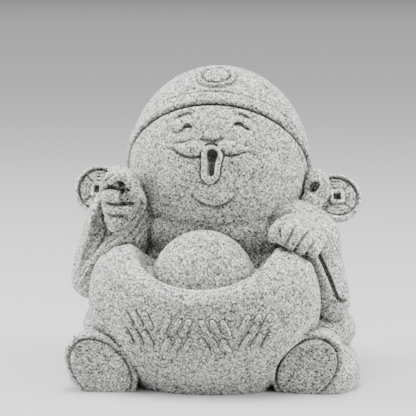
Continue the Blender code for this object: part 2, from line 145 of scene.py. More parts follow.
# Camera: the target is in parts, from the block's own origin
CAMERA_AZIMUTH = math.radians(7.8)
CAMERA_ELEVATION = math.radians(8.0)
CAMERA_DISTANCE = 0.52
CAMERA_TARGET = (-2.3027, 0.2069, 48.6818)
CAMERA_LENS = 154.12


def ease(values, start, end):
    """A smooth step from 0 at start to 1 at end."""
    t = np.clip((values - start) / (end - start), 0.0, 1.0)
    return t * t * (3.0 - 2.0 * t)


def smooth_path(points, steps=5, closed=False):
    """A rounded path through points of any width, with steps spans between each two."""
    points = np.array(points, float)
    if closed:
        padded = np.concatenate([points[-1:], points, points[:2]])
    else:
        padded = np.concatenate([2 * points[:1] - points[1:2], points, 2 * points[-1:] - points[-2:-1]])
    path = []
    for a, b, c, d in zip(padded, padded[1:], padded[2:], padded[3:]):
        for t in np.arange(steps) / steps:
            place = 2 * b + (c - a) * t
            place = place + (2 * a - 5 * b + 4 * c - d) * t**2
            place = place + (3 * b - a - 3 * c + d) * t**3
            path.append(0.5 * place)
    path.append(padded[-2])
    return np.array(path)


class Clay:
    """A block of signed distances, negative inside the stone."""

    def __init__(self, low, high, cell):
        self.low = np.array(low)
        self.cell = cell
        self.axes = [np.arange(a, b, cell, dtype=np.float32) for a, b in zip(low, high)]
        self.field = np.full([len(axis) for axis in self.axes], FAR, np.float32)

    def window(self, low, high):
        """The slices between two corners, and the coordinates in them."""
        spans = tuple(slice(*np.searchsorted(axis, (a, b))) for axis, a, b in zip(self.axes, low, high))
        x, y, z = [axis[span] for axis, span in zip(self.axes, spans)]
        return spans, (x[:, None, None], y[None, :, None], z[None, None, :])

    def add(self, spans, distance, blend=0.4):
        old = self.field[spans]
        near = np.maximum(blend - np.abs(old - distance), 0.0)
        self.field[spans] = np.minimum(old, distance) - near * near / (4 * blend)

    def cut(self, spans, distance, blend=0.3):
        old = self.field[spans]
        near = np.maximum(blend - np.abs(old + distance), 0.0)
        self.field[spans] = np.maximum(old, -distance) + near * near / (4 * blend)

    def egg(self, centre, radii, turn=0.0):
        """An ellipsoid, turned about Y."""
        centre, radii = np.array(centre, float), np.array(radii, float)
        reach = radii + REACH
        if turn:
            reach = np.full(3, radii.max() + REACH)
        spans, (x, y, z) = self.window(centre - reach, centre + reach)
        x, y, z = x - centre[0], y - centre[1], z - centre[2]
        c, s = math.cos(math.radians(turn)), math.sin(math.radians(turn))
        x, z = c * x - s * z, s * x + c * z
        near = np.sqrt((x / radii[0]) ** 2 + (y / radii[1]) ** 2 + (z / radii[2]) ** 2)
        slope = np.sqrt((x / radii[0] ** 2) ** 2 + (y / radii[1] ** 2) ** 2 + (z / radii[2] ** 2) ** 2)
        return spans, near * (near - 1.0) / np.maximum(slope, 1e-6)

    def tube(self, path, deep=1.0):
        """A tube through dense (x, y, z, radius) points, stretched by deep along Y."""
        path = np.array(path, float)
        radius = path[:, 3:]
        edge = np.concatenate([radius, deep * radius, radius], 1) + REACH
        low, high = path[:, :3] - edge, path[:, :3] + edge
        spans, _ = self.window(low.min(0), high.max(0))
        whole = np.full([s.stop - s.start for s in spans], FAR, np.float32)
        for i in range(len(path) - 1):
            part, (x, y, z) = self.window(np.minimum(low[i], low[i + 1]), np.maximum(high[i], high[i + 1]))
            a, b = path[i], path[i + 1]
            way = (b - a)[:3] * (1, 1 / deep, 1)
            x, y, z = x - a[0], (y - a[1]) / deep, z - a[2]
            t = np.clip((x * way[0] + y * way[1] + z * way[2]) / max(way @ way, 1e-9), 0.0, 1.0)
            gap = np.sqrt((x - t * way[0]) ** 2 + (y - t * way[1]) ** 2 + (z - t * way[2]) ** 2)
            gap -= a[3] + t * (b[3] - a[3])
            inner = tuple(slice(p.start - s.start, p.stop - s.start) for p, s in zip(part, spans))
            whole[inner] = np.minimum(whole[inner], gap)
        return spans, whole

    def sample(self, points, field=None):
        """The distances at points, between the cells."""
        field = self.field if field is None else field
        place = (np.array(points) - self.low) / self.cell
        place = np.clip(place, 0, np.array(field.shape) - 1.001)
        base = place.astype(int)
        share = place - base
        total = 0.0
        for corner in np.ndindex(2, 2, 2):
            weight = np.prod(np.where(np.array(corner), share, 1 - share), axis=-1)
            total = total + weight * field[tuple((base + corner).T)]
        return total

    def slope(self, points):
        """The unit way out of the stone at points."""
        step = 1.5 * self.cell
        ways = [self.sample(points + step * axis) - self.sample(points - step * axis) for axis in np.eye(3)]
        ways = np.stack(ways, -1)
        return ways / np.maximum(np.linalg.norm(ways, axis=-1, keepdims=True), 1e-6)

    def front(self, x, z, behind=False):
        """The points of the surface first met along Y at each (x, z), from the front or behind."""
        ys = self.axes[1][::-1] if behind else self.axes[1]
        across = np.repeat(x[:, None], len(ys), 1)
        along = np.repeat(ys[None], len(x), 0)
        up = np.repeat(z[:, None], len(ys), 1)
        columns = np.stack([across, along, up], -1)
        values = self.sample(columns.reshape(-1, 3)).reshape(len(x), -1)
        first = np.maximum(np.argmax(values < 0, axis=1), 1)
        rows = np.arange(len(x))
        before, after = values[rows, first - 1], values[rows, first]
        share = before / np.maximum(before - after, 1e-6)
        y = ys[first - 1] + share * (ys[first] - ys[first - 1])
        return np.stack([x, y, z], -1)

    def on_surface(self, line, lift=0.0, behind=False, steps=5, even=1):
        """A tube path through (x, z, radius) points laid on the surface, lift radii out of it.

        Its depth is averaged over even points, an odd number, so that it doesn't drop into a gap.
        """
        line = smooth_path(line, steps)
        points = self.front(line[:, 0], line[:, 1], behind)
        if even > 1:
            padded = np.pad(points[:, 1], even // 2, mode="edge")
            points[:, 1] = np.convolve(padded, np.full(even, 1.0 / even), mode="valid")
        radius = np.maximum(line[:, 2:], 0.02)
        return np.concatenate([points + lift * radius * self.slope(points), radius], 1)

    def score(self, line, lift=0.3, blend=0.25, behind=False, even=1):
        """Cuts a groove through (x, z, radius) points on the surface."""
        self.cut(*self.tube(self.on_surface(line, lift, behind, even=even)), blend)

    def bead(self, line, lift=-0.4, blend=0.6, behind=False, even=1):
        """Raises a rounded fold through (x, z, radius) points on the surface."""
        self.add(*self.tube(self.on_surface(line, lift, behind, even=even)), blend)


def on_head(longitude, latitude, lift=0.0):
    lon, lat = math.radians(longitude), math.radians(latitude)
    way = np.array((math.cos(lat) * math.sin(lon), -math.cos(lat) * math.cos(lon), math.sin(lat)))
    out = way / HEAD_RADII
    return HEAD_CENTRE + way * HEAD_RADII + lift * out / np.linalg.norm(out)


def on_face(across, up, lift=0.0):
    return on_head(FACE_TURN + across, up, lift)


def face_path(line, lift=0.0, closed=False, steps=5):
    """A dense tube path through (across, up, radius) points of the face, lift radii out of it."""
    line = smooth_path(line, steps, closed)
    return [(*on_face(a, u, lift * max(r, 0.02)), max(r, 0.02)) for a, u, r in line]


def leaf_path(line, rise):
    """A path whose tube shows as a low lobe with (across, up, half width) and rises by rise at most."""
    path = []
    for a, u, half in smooth_path(line):
        half = max(half, 0.15)
        height = min(rise, 0.6 * half)
        radius = (half * half + height * height) / (2 * height)
        path.append((*on_face(a, u, height - radius), radius))
    return path


def frame_facing(normal, centre):
    """Rows of a frame whose Z runs along normal and whose X stays level, and its centre."""
    z = np.array(normal, float) / np.linalg.norm(normal)
    x = np.cross((0, 0, 1), z)
    x /= np.linalg.norm(x)
    return np.stack([x, np.cross(z, x), z]), np.array(centre, float)


def local(rows, centre, x, y, z):
    x, y, z = x - centre[0], y - centre[1], z - centre[2]
    return [r[0] * x + r[1] * y + r[2] * z for r in rows]


def sculpt_head(clay):
    """The head with its close cap, whose crown and band are told apart by the angle off the cap's axis."""
    level = math.cos(CAP_ROLL)
    axis = np.array((math.sin(CAP_ROLL), math.sin(CAP_LEAN) * level, math.cos(CAP_LEAN) * level))
    reach = HEAD_RADII + REACH + 1
    spans, (x, y, z) = clay.window(HEAD_CENTRE - reach, HEAD_CENTRE + reach)
    u, v, w = [(p - c) / r for p, c, r in zip((x, y, z), HEAD_CENTRE, HEAD_RADII)]
    near = np.sqrt(u * u + v * v + w * w)
    slope = np.sqrt((u / HEAD_RADII[0]) ** 2 + (v / HEAD_RADII[1]) ** 2 + (w / HEAD_RADII[2]) ** 2)
    distance = near * (near - 1.0) / np.maximum(slope, 1e-6)
    cosine = (u * axis[0] + v * axis[1] + w * axis[2]) / np.maximum(near, 1e-6)
    polar = np.degrees(np.arccos(np.clip(cosine, -1, 1)))
    on_band = ease(polar, BAND_TOP - 0.7, BAND_TOP + 0.7)
    off_band = ease(polar, BAND_FOOT - 0.5, BAND_FOOT + 0.7)
    rise = (1 - on_band) * CROWN_RAISE + on_band * BAND_RAISE * (1 - off_band)
    seen = 1 - 0.6 * ease(np.abs(x - 2.5), 19.0, 25.0) * (y < 5)
    rise = rise - 0.95 * seen * np.exp(-(((polar - BAND_TOP + 0.7) / 0.6) ** 2))
    rise = rise - 0.9 * np.exp(-(((polar - BAND_FOOT - 0.7) / 0.75) ** 2))
    clay.add(spans, distance - rise)

    rows, centre = frame_facing(on_head(*BADGE_AT, 1.0) - on_head(*BADGE_AT), on_head(*BADGE_AT))
    spans, xyz = clay.window(centre - 9, centre + 9)
    u, v, w = local(rows, centre, *xyz)
    out = np.sqrt(u * u + v * v)
    clay.add(spans, np.maximum(out - BADGE_RADIUS, np.abs(w + out * out / 56) - BADGE_RISE), 0.6)
    clay.cut(spans, np.hypot(out - BADGE_RADIUS - 0.5, w + 0.1) - 0.4, 0.3)
    clay.cut(spans, np.hypot(out - BADGE_RING, w - 0.6) - 0.55, 0.2)
    clay.add(spans, np.sqrt(u * u + v * v + (1.6 * w + 0.6) ** 2) - BADGE_BOSS, 0.15)

    folds = (
        [
            (59.2, 50.4, 0.1), (57.8, 44.8, 0.4), (56.9, 39.6, 0.45), (57.8, 35.5, 0.45),
            (62.3, 29.4, 0.5), (70.4, 20.9, 0.45), (77.5, 12.0, 0.2)
        ],
        [(56.3, 37.4, 0.2), (58.4, 28.8, 0.4), (63.0, 21.4, 0.45), (68.2, 14.9, 0.4), (73.9, 8.5, 0.2)],
    )
    for fold in folds:
        path = [np.array(p) for p in face_path(fold)]
        path = [(*(HEAD_CENTRE + 1.03 * (p[:3] - HEAD_CENTRE)), p[3]) for p in path]
        clay.cut(*clay.tube(path), 0.2)
    clay.cut(
        *clay.tube(
            face_path(
                [
                    (65.5, 14.5, 0.2), (66.9, 12.9, 0.5), (69.3, 9.0, 0.5), (72.3, 3.5, 0.45),
                    (76.3, -2.9, 0.1)
                ],
                0.2
            )
        )
    )


def sculpt_face(clay):
    clay.add(*clay.egg(on_face(1.0, -12.5, -2.2), (5.2, 3.0, 3.6)), 2.0)
    hair = (
        [
            (-2.6, 16.4, 0.6), (-5.4, 15.5, 1.6), (-9.8, 15.0, 2.05), (-14.2, 14.7, 1.9),
            (-18.8, 14.8, 1.3), (-23.6, 15.3, 0.7), (-28.6, 14.9, 0.3)
        ],
        [
            (3.9, 16.4, 0.6), (6.2, 16.0, 1.5), (10.3, 15.9, 1.95), (14.8, 15.5, 1.7),
            (18.8, 15.0, 1.1), (22.6, 14.5, 0.6), (27.0, 13.9, 0.3)
        ],
    )
    lines = (
        [
            (-3.6, 13.6, 0.3), (-6.3, 11.2, 0.5), (-11.0, 9.9, 0.55), (-16.2, 10.1, 0.55),
            (-20.8, 11.4, 0.5), (-25.4, 13.6, 0.35), (-30.2, 14.2, 0.15)
        ],
        [
            (5.0, 15.0, 0.3), (7.4, 12.4, 0.5), (11.1, 11.2, 0.55), (16.1, 11.6, 0.5),
            (20.6, 13.2, 0.45), (24.2, 13.4, 0.35), (28.2, 12.6, 0.15)
        ],
        [(-8.8, 20.6, 0.15), (-6.0, 20.0, 0.35), (-3.9, 18.4, 0.4), (-2.4, 16.9, 0.3)],
        [(9.6, 21.4, 0.15), (7.0, 20.6, 0.35), (5.0, 18.9, 0.4), (3.9, 17.4, 0.3)],
        [(-12.5, 19.9, 0.1), (-17.5, 18.4, 0.28), (-23.2, 17.5, 0.28), (-28.2, 16.0, 0.12)],
        [(14.2, 19.6, 0.1), (18.6, 17.2, 0.28), (22.6, 15.9, 0.28), (26.6, 15.4, 0.12)],
    )
    for line in lines:
        clay.cut(*clay.tube(face_path(line, -0.35)), 0.2)
    for lobe in hair:
        clay.add(*clay.tube(leaf_path(lobe, 1.55)), 0.12)
    clay.add(*clay.egg(on_face(0.3, 22.8, 0.35), (2.15, 1.9, 1.5)), 0.25)
    clay.cut(
        *clay.tube(
            face_path(
                [
                    (-4.6, 20.6, 0.2), (-2.4, 19.3, 0.4), (0.4, 18.9, 0.45), (3.2, 19.3, 0.4),
                    (5.4, 20.7, 0.2)
                ],
                0.4
            )
        ),
        0.2
    )
    eyes = (
        [
            (-30.2, 24.2, 0.1), (-25.9, 23.5, 0.42), (-22.9, 24.1, 0.55), (-20.4, 26.2, 0.72),
            (-18.2, 28.0, 0.92), (-15.9, 27.8, 0.8), (-14.0, 26.6, 0.3)
        ],
        [
            (14.4, 28.4, 0.3), (17.3, 29.6, 0.8), (19.8, 29.3, 0.85), (22.4, 27.9, 0.65),
            (24.8, 26.1, 0.5), (28.4, 24.8, 0.1)
        ],
    )
    for eye in eyes:
        clay.cut(*clay.tube(face_path([(a, u, 0.82 * r) for a, u, r in eye], -0.6)), 0.2)
    brows = (
        [(-29.6, 30.9, 0.1), (-26.0, 33.5, 0.5), (-22.1, 35.1, 0.6), (-18.0, 35.8, 0.55), (-13.6, 35.9, 0.1)],
        [(16.6, 35.2, 0.1), (20.8, 35.5, 0.55), (23.8, 34.9, 0.6), (26.5, 33.5, 0.5), (30.6, 30.9, 0.1)],
    )
    for brow in brows:
        clay.cut(*clay.tube(face_path(brow, -0.2)), 0.3)
    clay.cut(
        *clay.tube(
            face_path(
                [
                    (-13.0, -10.8, 0.1), (-8.8, -14.6, 0.5), (-4.7, -16.9, 0.6), (1.2, -18.2, 0.65),
                    (6.3, -17.5, 0.6), (11.3, -15.2, 0.5), (16.0, -11.0, 0.1)
                ],
                0.3
            )
        ),
        0.6
    )
    ring = [
        (0.6, 15.4), (3.8, 14.0), (5.5, 11.0), (4.6, 7.4), (3.9, 4.4), (3.5, 0.6), (2.2, -1.8),
        (-0.4, -2.8), (-3.2, -1.8), (-4.2, 0.9), (-3.8, 5.0), (-4.1, 9.4), (-3.9, 12.4),
        (-2.4, 14.6)
    ]
    outer = [(0.6 + 1.42 * (a - 0.6), 6.3 + 1.2 * (u - 6.3), 0.5) for a, u in ring]
    clay.cut(*clay.tube(face_path(outer, 0.0, closed=True)), 0.4)
    clay.add(*clay.tube(face_path([(a, u, 0.82) for a, u in ring], 0.25, closed=True)), 0.25)
    clay.add(*clay.tube(face_path([(-3.2, -1.6, 0.6), (-0.6, -2.8, 1.15), (2.2, -1.8, 0.6)], 0.0)), 0.3)
    opening = smooth_path([(0.9, 11.4, 1.7), (0.6, 6.6, 1.05), (0.5, 3.6, 0.95), (0.4, 1.0, 0.85)])
    clay.cut(*clay.tube([(*on_face(a, u, -0.2), r) for a, u, r in opening], deep=2.2), 0.25)


def sculpt_body(clay):
    clay.add(*clay.egg((0.0, 8.0, 22.0), (33.0, 23.0, 33.0)))
    clay.add(*clay.egg((0.0, 2.0, 43.5), (24.0, 17.5, 13.0)), 1.0)
    clay.add(*clay.egg((-0.3, 6.5, 3.5), (41.4, 24.5, 13.0)), 1.2)
    for side in (-1, 1):
        clay.add(*clay.egg((side * 28.0 + 1.0, -1.0, 14.0), (12.2, 14.5, 8.5)), 1.2)
        clay.add(*clay.egg((side * 32.8 + 1.0, -12.4, 3.8), (9.4, 12.3, 9.2)), 0.6)


def ingot_share(height):
    return np.sqrt(np.maximum(1.0 - ((height - BELLY_Z) / BELLY_DROP) ** 2, 0.0))


def sculpt_ingot(clay):
    """A round belly on a narrow foot, under a rim that rises to both horns round a trough and a dome."""
    spans, (x, y, z) = clay.window((-35.5, -37.5, -1.4), (34.0, -0.5, 46.5))
    u, v, w = (x - INGOT[0]) / INGOT_PLAN[0], (y - INGOT[1]) / INGOT_PLAN[1], (z - BELLY_Z) / BELLY_DROP
    round_out = np.sqrt(u * u + v * v)
    near = np.sqrt(u * u + v * v + w * w)
    slope = np.sqrt((u / INGOT_PLAN[0]) ** 2 + (v / INGOT_PLAN[1]) ** 2 + (w / BELLY_DROP) ** 2)
    belly = near * (near - 1.0) / np.maximum(slope, 1e-6)
    horn = (u / np.maximum(round_out, 1e-6)) ** 2
    top = RIM_FRONT_Z + HORN_RISE * horn
    drop = 2.2 + 4.0 * horn
    inner = 1.0 / np.sqrt(
        (u * INGOT_PLAN[0] / DOME_PLAN[0]) ** 2 + (v * INGOT_PLAN[1] / DOME_PLAN[1]) ** 2 + 1e-9
    ) * round_out
    outer = ingot_share(top - 1.5)
    s = (round_out - inner) / np.maximum(outer - inner, 0.05)
    height = top - drop * (1 - ease(s, 0.06, 0.44))
    height = height - 0.8 * ease(s, 0.46, 0.78)
    height = height - (1.0 + 1.1 * horn) * ease(s, 0.74, 1.0)
    cap = (z - height) / 1.15
    near = np.maximum(2.2 - np.abs(belly - cap), 0.0)
    bowl = np.maximum(belly, cap) + near * near / 8.8
    foot = np.maximum((round_out - INGOT_FOOT) * 19.0, z - 12.0)
    near = np.maximum(3.0 - np.abs(bowl - foot), 0.0)
    bowl = np.minimum(bowl, foot) - near * near / 12.0
    clay.add(spans, bowl, 0.3)
    dome = clay.egg((*INGOT, 28.6), (*DOME_PLAN, DOME_TOP_Z - 28.6))
    clay.add(*dome, 0.35)


def on_ingot(x, z, lift=0.0):
    """A point of the ingot's front wall, raised off it."""
    share = float(ingot_share(z))
    across = (x - INGOT[0]) / (INGOT_PLAN[0] * share)
    ahead = math.sqrt(max(1.0 - across * across, 0.0))
    out = np.array((across / INGOT_PLAN[0], -ahead / INGOT_PLAN[1], 0.0))
    point = np.array((x, INGOT[1] - INGOT_PLAN[1] * share * ahead, z))
    return point + lift * out / np.linalg.norm(out)


def ingot_strokes(lift):
    """The centre lines of groups of rows of short parallel strokes that spell nothing."""
    lines = []
    middle = (STROKE_GROUPS - 1) / 2
    for group in range(STROKE_GROUPS):
        x = INGOT[0] + STROKE_PITCH * (group - middle)
        z = STROKES_Z - STROKE_SAG * (1.0 - ((group - middle) / middle) ** 2)
        lean = STROKE_HALF[0] if group % 2 else -STROKE_HALF[0]
        for row in range(STROKE_ROWS):
            row_z = z + STROKE_ROW_PITCH * (row - (STROKE_ROWS - 1) / 2)
            for column in range(STROKES_IN_ROW):
                column_x = x + STROKE_SPACE * (column - (STROKES_IN_ROW - 1) / 2)
                steps = np.linspace(-1, 1, 7)
                lines.append([on_ingot(column_x + t * lean, row_z + t * STROKE_HALF[1], lift) for t in steps])
    return lines


def coin_frames():
    for centre, tilt, splay in zip(COIN_CENTRES, COIN_TILTS, COIN_SPLAYS):
        level = math.cos(tilt)
        yield frame_facing((math.sin(splay) * level, -math.cos(splay) * level, math.sin(tilt)), centre)


def sculpt_coins(clay):
    for rows, centre in coin_frames():
        spans, xyz = clay.window(centre - 11, centre + 11)
        u, v, w = local(rows, centre, *xyz)
        out = np.sqrt(u * u + v * v)
        width = COIN_RADIUS - 0.28 * COIN_RADIUS * ease(-w, 0.5 * COIN_THICK, COIN_THICK)
        side_wall, ends = out - width, np.maximum(w, -w - COIN_THICK)
        near = np.maximum(0.8 - np.abs(side_wall - ends), 0.0)
        clay.add(spans, np.maximum(side_wall, ends) + near * near / 3.2, 0.4)
        clay.cut(spans, np.maximum(out - COIN_RADIUS + COIN_RIM, -COIN_RECESS - w), 0.2)
        clay.cut(spans, np.hypot(out - COIN_RADIUS + 1.3, w + COIN_RECESS) - 0.4, 0.2)
        square = np.maximum(np.abs(u), np.abs(v))
        clay.add(spans, np.maximum(np.maximum(square - COIN_FRAME, w - 0.05), -w - 2.0), 0.25)
        clay.cut(spans, np.maximum(square - COIN_HOLE, -w - 1.8), 0.2)
        for turn in range(4):
            angle = math.radians(45 + 90 * turn)
            along = u * math.cos(angle) + v * math.sin(angle)
            across = v * math.cos(angle) - u * math.sin(angle)
            span = np.maximum(np.maximum(2.9 - along, along - 5.6), 0.0)
            clay.cut(spans, np.sqrt(across**2 + (w + 0.75) ** 2 + span**2) - 0.45, 0.2)
    clay.add(*clay.egg((-27.0, 7.5, 50.9), (7.0, 4.5, 5.5)), 0.8)
    clay.add(*clay.egg((27.0, 7.5, 50.3), (7.0, 4.5, 5.5)), 0.8)


def coin_strokes():
    """The centre lines of short straight strokes round each coin's hole."""
    lines = []
    for rows, centre in coin_frames():
        for turn in range(4):
            angle = math.radians(90 * turn)
            along = np.array((math.cos(angle), math.sin(angle)))
            across = np.array((-math.sin(angle), math.cos(angle)))
            for reach, half in COIN_STROKES:
                flat = [along * reach + across * half * t for t in np.linspace(-1, 1, 7)]
                lines.append([centre + f[0] * rows[0] + f[1] * rows[1] - 0.7 * rows[2] for f in flat])
    return lines


def sculpt_ears(clay):
    for side in (-1, 1):
        clay.add(*clay.egg((side * 29.3, 1.8, 55.0), (4.0, 3.2, 5.6)), 0.4)
        clay.add(*clay.egg((side * 28.0, -0.2, 50.9), (3.2, 2.8, 3.4)), 0.8)
    clay.score([(27.9, 54.8, 1.0), (28.5, 55.4, 1.35), (29.2, 56.1, 1.2)], lift=-0.5)
    clay.score(
        [
            (31.4, 52.2, 0.1), (32.0, 54.6, 0.35), (31.6, 56.8, 0.4), (30.3, 58.3, 0.35),
            (28.6, 58.4, 0.1)
        ],
        lift=0.2
    )
    clay.score([(26.9, 57.8, 0.2), (26.9, 56.0, 0.5), (26.4, 53.8, 0.5), (25.9, 51.6, 0.2)], lift=0.1)


def sculpt_sleeves(clay):
    raised = [
        (-25.6, -7.6, 51.6, 7.2), (-27.2, -7.4, 45.3, 9.6), (-29.1, -7.4, 38.5, 9.8),
        (-32.3, -7.8, 33.0, 8.3), (-35.3, -8.4, 28.6, 6.0)
    ]
    clay.add(*clay.tube(smooth_path(raised, 3), 0.9), 1.0)
    mouth = [
        (-25.8, -16.0, 54.0, 6.0), (-29.0, -16.0, 46.5, 5.4), (-34.4, -15.8, 38.5, 2.5),
        (-38.0, -14.4, 31.5, 1.0), (-40.4, -12.6, 27.2, 0.6)
    ]
    clay.cut(*clay.tube(smooth_path(mouth, 4), 1.25), 0.7)
    resting = [
        (20.0, -3.0, 47.2, 6.0), (28.6, -5.2, 42.2, 7.4), (30.8, -6.6, 35.3, 6.6),
        (33.6, -8.0, 27.8, 5.7), (34.9, -8.8, 23.2, 5.0)
    ]
    clay.add(*clay.tube(smooth_path(resting, 3), 1.15), 1.0)
    slit = [
        (31.0, 39.4, 0.5), (32.4, 35.0, 0.8), (34.1, 31.3, 0.9), (35.6, 27.4, 0.9),
        (36.8, 25.4, 0.8), (38.2, 24.6, 0.6), (39.2, 25.0, 0.3)
    ]
    clay.score(slit, lift=-0.5)


def sculpt_hands(clay):
    """A raised fist with a groove round it, and a hand laid on the horn with its palm against it."""
    clay.add(*clay.egg((-25.2, -13.6, 52.8), (6.0, 5.0, 9.2)), 0.3)
    clay.add(*clay.egg((-26.0, -14.2, 45.6), (3.4, 3.6, 2.9)), 0.8)
    raised = (
        [
            (-30.2, -15.6, 56.0, 1.2), (-29.3, -16.9, 57.6, 1.5), (-27.3, -18.0, 59.2, 1.65),
            (-25.1, -18.5, 60.0, 1.65), (-23.1, -18.5, 59.3, 1.5), (-22.3, -18.2, 57.9, 1.2)
        ],
        [
            (-30.2, -15.6, 54.0, 1.6), (-28.4, -17.4, 54.2, 1.9), (-26.4, -18.4, 54.1, 1.95),
            (-25.2, -18.3, 54.0, 1.8)
        ],
        [
            (-29.2, -16.0, 50.8, 1.3), (-27.0, -17.5, 50.4, 1.6), (-24.6, -17.8, 50.2, 1.6),
            (-22.9, -17.2, 50.3, 1.4)
        ],
        [(-28.4, -15.6, 47.2, 1.6), (-26.4, -16.6, 46.7, 2.1), (-24.4, -16.3, 46.5, 2.0)],
        [
            (-20.3, -14.8, 52.6, 2.3), (-20.7, -16.6, 54.4, 2.35), (-21.4, -17.2, 56.0, 1.8),
            (-21.9, -17.3, 57.2, 1.1)
        ],
    )
    for finger in raised:
        clay.add(*clay.tube(smooth_path(finger)), 0.25)
    clay.score([(-30.0, 57.2, 0.2), (-28.9, 58.6, 0.55), (-27.2, 60.0, 0.5), (-25.2, 61.3, 0.15)], lift=0.0)
    clay.cut(*clay.egg((-24.8, -18.6, 57.6), (1.2, 2.8, 1.25)), 0.5)
    clay.score([(-28.8, 56.9, 0.2), (-26.8, 56.6, 0.65), (-24.4, 56.4, 0.75), (-22.0, 55.9, 0.35)], lift=-0.3)
    clay.score([(-24.3, 56.0, 0.5), (-24.3, 54.4, 0.6), (-24.0, 52.2, 0.5)], lift=-0.6)
    clay.score(
        [
            (-29.2, 52.1, 0.15), (-27.6, 51.9, 0.55), (-24.0, 52.0, 0.65), (-21.0, 52.1, 0.5),
            (-19.4, 52.4, 0.1)
        ],
        lift=-0.3
    )
    clay.score([(-29.6, 49.5, 0.1), (-28.3, 48.7, 0.55), (-26.0, 48.6, 0.55), (-22.8, 49.1, 0.2)], lift=-0.2)
    clay.bead(
        [(-22.9, 50.2, 0.2), (-22.4, 48.4, 0.45), (-23.1, 46.7, 0.5), (-24.6, 45.5, 0.2)], lift=0.0,
        blend=0.3
    )
    edge = [
        (-19.0, 53.6, 0.2), (-18.9, 51.8, 0.6), (-20.2, 48.9, 0.7), (-22.1, 46.2, 0.7),
        (-24.8, 44.2, 0.7), (-27.3, 43.4, 0.6), (-30.0, 45.0, 0.5), (-31.7, 47.7, 0.3)
    ]
    clay.score(edge, lift=-0.2, even=9)

    clay.add(*clay.egg((26.4, -13.0, 44.4), (6.6, 6.6, 4.2), turn=32.0), 1.2)
    clay.add(*clay.egg((25.2, -15.2, 41.8), (5.2, 4.8, 3.4), turn=32.0), 1.0)
    resting = (
        [
            (22.4, -14.6, 47.2, 1.9), (20.6, -17.6, 46.4, 2.0), (19.4, -19.6, 44.9, 1.9),
            (19.1, -20.2, 43.7, 1.7)
        ],
        [
            (25.0, -15.0, 47.0, 1.9), (23.7, -18.2, 46.4, 2.0), (22.6, -20.2, 44.7, 2.0),
            (22.0, -21.0, 43.2, 1.8)
        ],
        [
            (27.0, -14.8, 46.0, 1.9), (26.2, -18.2, 45.4, 2.0), (25.1, -20.2, 43.7, 2.0),
            (24.3, -21.0, 42.2, 1.8)
        ],
        [
            (29.2, -14.0, 44.2, 1.8), (28.6, -17.6, 43.2, 1.9), (27.6, -19.6, 41.8, 1.9),
            (27.0, -20.2, 40.7, 1.7)
        ],
        [
            (31.0, -12.8, 42.2, 1.7), (30.9, -16.2, 41.2, 1.8), (30.3, -18.0, 40.0, 1.7),
            (30.0, -18.5, 39.4, 1.6)
        ],
    )
    for finger in resting:
        clay.add(*clay.tube(smooth_path(finger)), 1.3)
    grooves = (
        [(20.2, 47.4, 0.1), (20.5, 46.4, 0.35), (21.0, 44.7, 0.45), (21.2, 43.0, 0.4)],
        [(25.2, 47.2, 0.1), (24.7, 46.2, 0.4), (23.9, 44.5, 0.5), (22.5, 41.8, 0.5)],
        [(28.6, 45.6, 0.1), (27.8, 44.5, 0.4), (26.4, 42.5, 0.5), (25.1, 40.2, 0.5)],
        [(30.9, 43.2, 0.1), (30.1, 42.1, 0.4), (28.7, 40.3, 0.5), (28.0, 38.6, 0.4)],
    )
    for groove in grooves:
        clay.score(groove, lift=-0.2)


def sculpt_shoes(clay):
    """Round soles that face the viewer, with a rim, a thin groove inside it and a welt round the side."""
    for centre, lean, side in zip(SHOE_CENTRES, TOE_LEAN, (-1, 1)):
        level = math.cos(SOLE_DROP)
        facing = (-side * math.sin(SOLE_TURN) * level, -math.cos(SOLE_TURN) * level, -math.sin(SOLE_DROP))
        rows, centre = frame_facing(facing, centre)
        c, s = math.cos(lean), math.sin(lean)
        rows = np.stack([c * rows[0] + s * rows[1], c * rows[1] - s * rows[0], rows[2]])
        spans, xyz = clay.window(np.maximum(centre - 17, BLOCK_LOW), centre + 17)
        u, v, w = local(rows, centre, *xyz)
        share = np.sqrt((u / SHOE_HALF[0]) ** 2 + (v / SHOE_HALF[1]) ** 2)
        reach = np.sqrt(u * u + v * v) / np.maximum(share, 1e-6)
        wall = (share - np.interp(w, SHOE_PROFILE[:, 1], SHOE_PROFILE[:, 0])) * reach
        ends = np.maximum(w, -w - SHOE_DEPTH)
        near = np.maximum(1.8 - np.abs(wall - ends), 0.0)
        welt = 0.55 - np.hypot((share - 0.96) * reach, w + SHOE_WELT)
        clay.add(spans, np.maximum(np.maximum(wall, ends) + near * near / 7.2, welt), 0.4)
        clay.cut(spans, np.maximum((share - 0.875) * reach, -0.3 - w), 0.3)
        clay.add(spans, np.maximum(np.maximum((share - 0.81) * reach, w - 0.25), -w - 3.0), 0.6)
        clay.cut(spans, np.hypot((share - 0.85) * reach, w + 0.1) - 0.42, 0.2)


